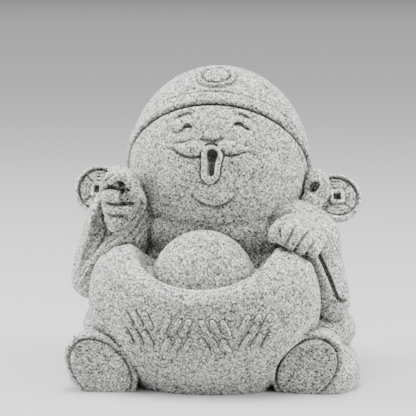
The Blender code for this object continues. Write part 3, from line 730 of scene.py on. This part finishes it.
def sculpt_robe(clay):
    """Rolled edges, creases and folds of the sleeves and hem, with a few plain folds behind."""
    lip = [
        (-18.9, 52.2, 0.3), (-19.2, 50.2, 0.9), (-21.0, 47.2, 1.0), (-23.6, 44.3, 1.0),
        (-26.6, 42.6, 1.0), (-29.2, 40.7, 1.0), (-31.6, 38.0, 0.9), (-33.8, 34.8, 0.8),
        (-36.0, 31.0, 0.7), (-38.2, 27.4, 0.4)
    ]
    clay.bead(lip, lift=-0.35, even=9)
    grooves = (
        [
            (-31.8, 46.6, 0.1), (-30.6, 43.4, 0.4), (-31.6, 40.2, 0.6), (-33.8, 36.2, 0.7),
            (-36.8, 31.3, 0.6), (-38.9, 27.6, 0.2)
        ],
        [
            (-18.4, 49.8, 0.1), (-19.4, 47.4, 0.35), (-21.2, 44.7, 0.4), (-23.4, 42.2, 0.35),
            (-25.9, 39.7, 0.1)
        ],
        [(-17.9, 47.8, 0.1), (-18.9, 45.2, 0.35), (-20.9, 42.4, 0.4), (-22.8, 40.4, 0.1)],
        [(-29.4, 38.6, 0.1), (-31.6, 35.9, 0.3), (-33.6, 32.8, 0.3), (-35.6, 29.4, 0.1)],
        [
            (31.2, 38.0, 0.1), (32.2, 36.2, 0.5), (33.4, 33.4, 0.6), (34.7, 30.6, 0.6),
            (35.8, 27.8, 0.55), (36.7, 25.7, 0.5), (37.8, 24.6, 0.45), (39.0, 24.5, 0.15)
        ],
        [(31.2, 45.0, 0.1), (32.7, 43.5, 0.3), (34.2, 41.8, 0.35), (34.9, 39.6, 0.1)],
        [(30.2, 17.2, 0.1), (33.4, 16.2, 0.35), (35.6, 14.7, 0.35), (37.4, 12.6, 0.1)],
        [(32.6, 17.3, 0.1), (35.6, 15.8, 0.4), (37.6, 13.7, 0.45), (39.4, 11.1, 0.45), (41.2, 8.4, 0.1)],
        [(31.4, 18.8, 0.1), (33.6, 18.5, 0.4), (36.0, 17.9, 0.1)],
    )
    for groove in grooves:
        clay.score(groove, lift=0.2)
    clay.bead(
        [
            (30.4, 37.0, 0.3), (31.6, 34.4, 0.9), (32.9, 31.4, 0.9), (34.2, 28.4, 0.9),
            (35.3, 26.0, 0.8), (36.4, 24.2, 0.3)
        ],
        lift=-0.4
    )
    back = (
        [(-27.0, 46.0, 0.1), (-24.0, 34.0, 0.6), (-24.0, 22.0, 0.7), (-28.0, 8.0, 0.1)],
        [(25.0, 46.0, 0.1), (23.0, 34.0, 0.6), (23.0, 22.0, 0.7), (27.0, 8.0, 0.1)],
        [(-12.0, 36.0, 0.1), (-5.0, 31.0, 0.5), (4.0, 30.6, 0.5), (12.0, 36.0, 0.1)],
        [(-15.0, 28.0, 0.1), (-6.0, 22.4, 0.6), (5.0, 22.0, 0.6), (15.0, 28.0, 0.1)],
    )
    for fold in back:
        clay.score(fold, lift=0.3, blend=0.8, behind=True)


def sculpt():
    clay = Clay(BLOCK_LOW, BLOCK_HIGH, CELL)
    sculpt_body(clay)
    sculpt_head(clay)
    sculpt_face(clay)
    sculpt_coins(clay)
    sculpt_ears(clay)
    sculpt_sleeves(clay)
    sculpt_ingot(clay)
    sculpt_shoes(clay)
    sculpt_robe(clay)
    sculpt_hands(clay)
    for line in ingot_strokes(0.45):
        clay.cut(*clay.tube([(*p, STROKE_BED) for p in line]), 0.3)
    z = clay.axes[2][None, None, :]
    clay.field[...] = np.maximum(clay.field, -z)
    return clay


def skin(clay):
    """Surface nets: a point in each cell that the surface crosses, and a face for each crossed edge."""
    field = clay.field
    inside = field < 0
    count = np.zeros([n - 1 for n in field.shape], np.int8)
    for corner in np.ndindex(2, 2, 2):
        count += inside[tuple(slice(c, n - 1 + c) for c, n in zip(corner, field.shape))]
    cells = np.argwhere((count > 0) & (count < 8))
    index = np.full(count.shape, -1, np.int32)
    index[tuple(cells.T)] = np.arange(len(cells))
    corners = np.array(list(np.ndindex(2, 2, 2)))
    values = np.stack([field[tuple((cells + c).T)] for c in corners], 1)
    total = np.zeros((len(cells), 3))
    number = np.zeros(len(cells))
    for a in range(8):
        for b in range(a + 1, 8):
            if np.abs(corners[a] - corners[b]).sum() != 1:
                continue
            crossed = (values[:, a] < 0) != (values[:, b] < 0)
            gap = np.where(crossed, values[:, a] - values[:, b], 1.0)
            share = np.clip(values[:, a] / gap, 0.0, 1.0)[:, None]
            total += np.where(crossed[:, None], corners[a] + share * (corners[b] - corners[a]), 0.0)
            number += crossed
    points = (cells + total / number[:, None]) * clay.cell + clay.low
    faces = []
    for axis in range(3):
        first = tuple(slice(None, -1) if a == axis else slice(1, -1) for a in range(3))
        second = tuple(slice(1, None) if a == axis else slice(1, -1) for a in range(3))
        near, far = inside[first], inside[second]
        for outward in (True, False):
            edges = np.argwhere((near & ~far) if outward else (~near & far))
            step = np.array([0 if a == axis else 1 for a in range(3)])
            edges = edges + step
            b, c = [np.eye(3, dtype=int)[(axis + k) % 3] for k in (1, 2)]
            quad = np.stack([index[tuple((edges - o).T)] for o in (b + c, c, 0 * b, b)], 1)
            faces.append(quad if outward else quad[:, ::-1])
    return points, np.concatenate(faces)


def build_mesh(name, points, faces):
    mesh = bpy.data.meshes.new(name)
    mesh.vertices.add(len(points))
    mesh.vertices.foreach_set("co", np.asarray(points, np.float32).ravel())
    sides = faces.shape[1]
    mesh.loops.add(faces.size)
    mesh.loops.foreach_set("vertex_index", faces.astype(np.int32).ravel())
    mesh.polygons.add(len(faces))
    mesh.polygons.foreach_set("loop_start", np.arange(0, faces.size, sides, dtype=np.int32))
    mesh.polygons.foreach_set("loop_total", np.full(len(faces), sides, np.int32))
    mesh.update()
    mesh.validate()
    return mesh


def finish_object(name, mesh, material):
    obj = bpy.data.objects.new(name, mesh)
    bpy.context.scene.collection.objects.link(obj)
    mesh.materials.clear()
    mesh.materials.append(material)
    mesh.polygons.foreach_set("use_smooth", np.ones(len(mesh.polygons), bool))
    return obj


def thin_out(obj, most):
    """Collapses the skin to at most so many triangles and keeps the result as a plain mesh."""
    triangles = sum(len(p.vertices) - 2 for p in obj.data.polygons)
    modifier = obj.modifiers.new("thin", "DECIMATE")
    modifier.ratio = most / triangles
    modifier.use_collapse_triangulate = True
    graph = bpy.context.evaluated_depsgraph_get()
    mesh = bpy.data.meshes.new_from_object(obj.evaluated_get(graph))
    obj.modifiers.clear()
    obj.data = mesh
    mesh.polygons.foreach_set("use_smooth", np.ones(len(mesh.polygons), bool))


def paint_hollow_shade(clay, points):
    """How deep each point lies in a hollow, from the stone averaged round it, for painted shade in hollows
    and painted light on ridges.
    """
    field = np.clip(clay.field, -1.0, 1.0)
    for axis in range(3):
        cells = np.arange(field.shape[axis])
        after = np.minimum(cells + PAINTED_SHADE_WIDTH // 2, field.shape[axis] - 1)
        before = np.maximum(cells - PAINTED_SHADE_WIDTH // 2 - 1, 0)
        for _ in range(2):
            total = np.cumsum(field, axis=axis, dtype=np.float32)
            field = (np.take(total, after, axis=axis) - np.take(total, before, axis=axis)) / PAINTED_SHADE_WIDTH
    return np.clip(-clay.sample(points, field) / 0.35, -1.0, 1.0)


def stone_material(name, painted_shade_on):
    material = bpy.data.materials.new(name)
    material.use_nodes = True
    nodes, links = material.node_tree.nodes, material.node_tree.links
    shader = nodes["Principled BSDF"]
    shader.inputs["Roughness"].default_value = STONE_ROUGHNESS
    shader.inputs["Specular IOR Level"].default_value = 0.25
    place = nodes.new("ShaderNodeTexCoord").outputs["Object"]

    def noise(scale, detail, roughness=0.5):
        node = nodes.new("ShaderNodeTexNoise")
        node.inputs["Scale"].default_value = scale
        node.inputs["Detail"].default_value = detail
        node.inputs["Roughness"].default_value = roughness
        links.new(place, node.inputs["Vector"])
        return node.outputs["Fac"]

    def grains(size):
        node = nodes.new("ShaderNodeTexVoronoi")
        node.inputs["Scale"].default_value = 1.0 / size
        links.new(place, node.inputs["Vector"])
        split = nodes.new("ShaderNodeSeparateColor")
        links.new(node.outputs["Color"], split.inputs["Color"])
        return split.outputs["Red"]

    def ramp(value, stops):
        node = nodes.new("ShaderNodeValToRGB")
        while len(node.color_ramp.elements) < len(stops):
            node.color_ramp.elements.new(0.5)
        for element, (at, grey) in zip(node.color_ramp.elements, stops):
            element.position = at
            element.color = (grey, grey * 0.995, grey * 0.98, 1.0)
        links.new(value, node.inputs["Fac"])
        return node.outputs["Color"]

    def mix(kind, fac, a, b):
        node = nodes.new("ShaderNodeMix")
        node.data_type = "RGBA"
        node.blend_type = kind
        sockets = [s for s in node.inputs if s.enabled and s.name in ("Factor", "A", "B")]
        for socket, value in zip(sockets, (fac, a, b)):
            if isinstance(value, bpy.types.NodeSocket):
                links.new(value, socket)
            else:
                socket.default_value = value
        return [s for s in node.outputs if s.enabled][0]

    fine = ramp(grains(FINE_GRAIN), FINE_GREYS)
    coarse = ramp(grains(COARSE_GRAIN), COARSE_GREYS)
    colour = mix("MIX", 0.5, fine, coarse)
    colour = mix("MULTIPLY", 1.0, colour, ramp(noise(120.0, 3.0), CLOUD_GREYS))
    # Painted shade: the colour is darkened in hollows and lightened on ridges, by how deep each point lies
    if painted_shade_on:
        attribute = nodes.new("ShaderNodeAttribute")
        attribute.attribute_name = "painted_hollow_shade"
        painted_shade = ramp(attribute.outputs["Fac"], PAINTED_SHADE_GREYS)
        colour = mix("MULTIPLY", 1.0, colour, painted_shade)
    links.new(colour, shader.inputs["Base Color"])
    bump = nodes.new("ShaderNodeBump")
    bump.inputs["Strength"].default_value = 0.35
    bump.inputs["Distance"].default_value = BUMP_HEIGHT
    links.new(noise(3200.0, 4.0, 0.6), bump.inputs["Height"])
    links.new(bump.outputs["Normal"], shader.inputs["Normal"])
    return material


def tube_tree(material):
    """A node group that turns a mesh of lines, with a radius on each point, into round tubes."""
    tree = bpy.data.node_groups.new("strokes", "GeometryNodeTree")
    tree.interface.new_socket("Geometry", in_out="INPUT", socket_type="NodeSocketGeometry")
    sides = tree.interface.new_socket("Sides", in_out="INPUT", socket_type="NodeSocketInt")
    sides.default_value = 10
    tree.interface.new_socket("Geometry", in_out="OUTPUT", socket_type="NodeSocketGeometry")
    nodes, links = tree.nodes, tree.links
    start, end = nodes.new("NodeGroupInput"), nodes.new("NodeGroupOutput")
    curve = nodes.new("GeometryNodeMeshToCurve")
    links.new(start.outputs["Geometry"], curve.inputs["Mesh"])
    width = nodes.new("GeometryNodeInputNamedAttribute")
    width.data_type = "FLOAT"
    width.inputs["Name"].default_value = "width"
    ring = nodes.new("GeometryNodeCurvePrimitiveCircle")
    ring.inputs["Radius"].default_value = 1.0
    links.new(start.outputs["Sides"], ring.inputs["Resolution"])
    tube = nodes.new("GeometryNodeCurveToMesh")
    tube.inputs["Fill Caps"].default_value = True
    links.new(curve.outputs["Curve"], tube.inputs["Curve"])
    links.new(ring.outputs["Curve"], tube.inputs["Profile Curve"])
    links.new(width.outputs["Attribute"], tube.inputs["Scale"])
    realize = nodes.new("GeometryNodeRealizeInstances")
    links.new(tube.outputs["Mesh"], realize.inputs["Geometry"])
    paint = nodes.new("GeometryNodeSetMaterial")
    paint.inputs["Material"].default_value = material
    links.new(realize.outputs["Geometry"], paint.inputs["Geometry"])
    links.new(paint.outputs["Geometry"], end.inputs["Geometry"])
    return tree, sides.identifier


def rounded_line(points, radius):
    """A line's points with both ends drawn in like half balls, and the radius at each."""
    points = [np.array(p) for p in points]
    first, last = points[0] - points[1], points[-1] - points[-2]
    first, last = first / np.linalg.norm(first), last / np.linalg.norm(last)
    ends = [(math.sin(a), math.cos(a)) for a in (math.radians(84), math.radians(60), math.radians(30))]
    line = [(points[0] + s * radius * first, c * radius) for s, c in ends]
    line += [(p, radius) for p in points]
    line += [(points[-1] + s * radius * last, c * radius) for s, c in reversed(ends)]
    return line


def strokes_object(name, lines, radius, to_metres, material, sides):
    points, widths, edges = [], [], []
    for line in lines:
        stations = rounded_line(line, radius)
        edges += [(len(points) + i, len(points) + i + 1) for i in range(len(stations) - 1)]
        points += [to_metres(p) for p, _ in stations]
        widths += [r * PART for _, r in stations]
    mesh = bpy.data.meshes.new(name)
    mesh.from_pydata([tuple(p) for p in points], edges, [])
    mesh.attributes.new("width", "FLOAT", "POINT").data.foreach_set("value", widths)
    obj = bpy.data.objects.new(name, mesh)
    bpy.context.scene.collection.objects.link(obj)
    tree, identifier = tube_tree(material)
    modifier = obj.modifiers.new("strokes", "NODES")
    modifier.node_group = tree
    modifier[identifier] = sides
    graph = bpy.context.evaluated_depsgraph_get()
    obj.data = bpy.data.meshes.new_from_object(obj.evaluated_get(graph))
    obj.modifiers.clear()
    obj.data.polygons.foreach_set("use_smooth", np.ones(len(obj.data.polygons), bool))
    return obj


def build_figure():
    """The figure's skin and its strokes, each a plain mesh placed in the CAD solid's box."""
    clay = sculpt()
    points, faces = skin(clay)
    shift = np.array((0.0, HIGH.y / PART - BACK_Y, 0.0))

    def to_metres(point):
        return (np.asarray(point) + shift) * PART

    stone = stone_material("speckled_stone", True)
    mesh = build_mesh("figure_skin", to_metres(points), faces)
    figure = finish_object("figure_skin", mesh, stone)
    thin_out(figure, MOST_TRIANGLES)
    # Painted shade in hollows and painted light on ridges, stored on the skin's points
    co = np.zeros(len(figure.data.vertices) * 3, np.float32)
    figure.data.vertices.foreach_get("co", co)
    painted_shade = paint_hollow_shade(clay, co.reshape(-1, 3) / PART - shift)
    figure.data.attributes.new("painted_hollow_shade", "FLOAT", "POINT").data.foreach_set("value", 0.5 + 0.5 * painted_shade)
    plain = stone_material("stroke_stone", False)
    ingot_marks = strokes_object("ingot_strokes", ingot_strokes(0.25), STROKE_RADIUS, to_metres, plain, 10)
    coin_marks = strokes_object("coin_strokes", coin_strokes(), COIN_STROKE_RADIUS, to_metres, plain, 8)
    return figure, [ingot_marks, coin_marks]


def build_stage():
    material = bpy.data.materials.new("pale_floor")
    material.use_nodes = True
    shader = material.node_tree.nodes["Principled BSDF"]
    shader.inputs["Base Color"].default_value = (FLOOR_GREY, FLOOR_GREY, FLOOR_GREY, 1.0)
    shader.inputs["Roughness"].default_value = 0.7
    mesh = bpy.data.meshes.new("floor")
    corners = [(x * FLOOR_HALF, y * FLOOR_HALF, 0) for x, y in ((-1, -1), (1, -1), (1, 1), (-1, 1))]
    mesh.from_pydata(corners, [], [(0, 1, 2, 3)])
    mesh.materials.append(material)
    floor = bpy.data.objects.new("floor", mesh)
    bpy.context.scene.collection.objects.link(floor)

    world = bpy.data.worlds.new("studio")
    world.use_nodes = True
    world.node_tree.nodes["Background"].inputs["Color"].default_value = WORLD_COLOUR
    world.node_tree.nodes["Background"].inputs["Strength"].default_value = WORLD_STRENGTH
    bpy.context.scene.world = world
    for name, energy, size, place in LIGHTS:
        data = bpy.data.lights.new(name, "AREA")
        data.energy = energy
        data.size = size
        light = bpy.data.objects.new(name, data)
        light.location = place
        light.rotation_euler = (Vector(AIM) - Vector(place)).to_track_quat("-Z", "Y").to_euler()
        bpy.context.scene.collection.objects.link(light)


def build_camera():
    level = math.cos(CAMERA_ELEVATION)
    back = Vector((
        math.sin(CAMERA_AZIMUTH) * level,
        -math.cos(CAMERA_AZIMUTH) * level,
        math.sin(CAMERA_ELEVATION),
    ))
    x, y, z = CAMERA_TARGET
    target = Vector((x, y + HIGH.y / PART - BACK_Y, z)) * PART
    data = bpy.data.cameras.new("camera")
    data.sensor_width = 36.0
    data.lens = CAMERA_LENS
    data.clip_start = 0.01
    data.clip_end = 2 * FLOOR_HALF
    camera = bpy.data.objects.new("camera", data)
    camera.location = target + CAMERA_DISTANCE * back
    camera.rotation_euler = back.to_track_quat("Z", "Y").to_euler()
    bpy.context.scene.collection.objects.link(camera)
    bpy.context.scene.camera = camera


figure, marks = build_figure()
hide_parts("figure")
for piece in (figure, *marks):
    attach(piece, "root")
build_stage()
build_camera()
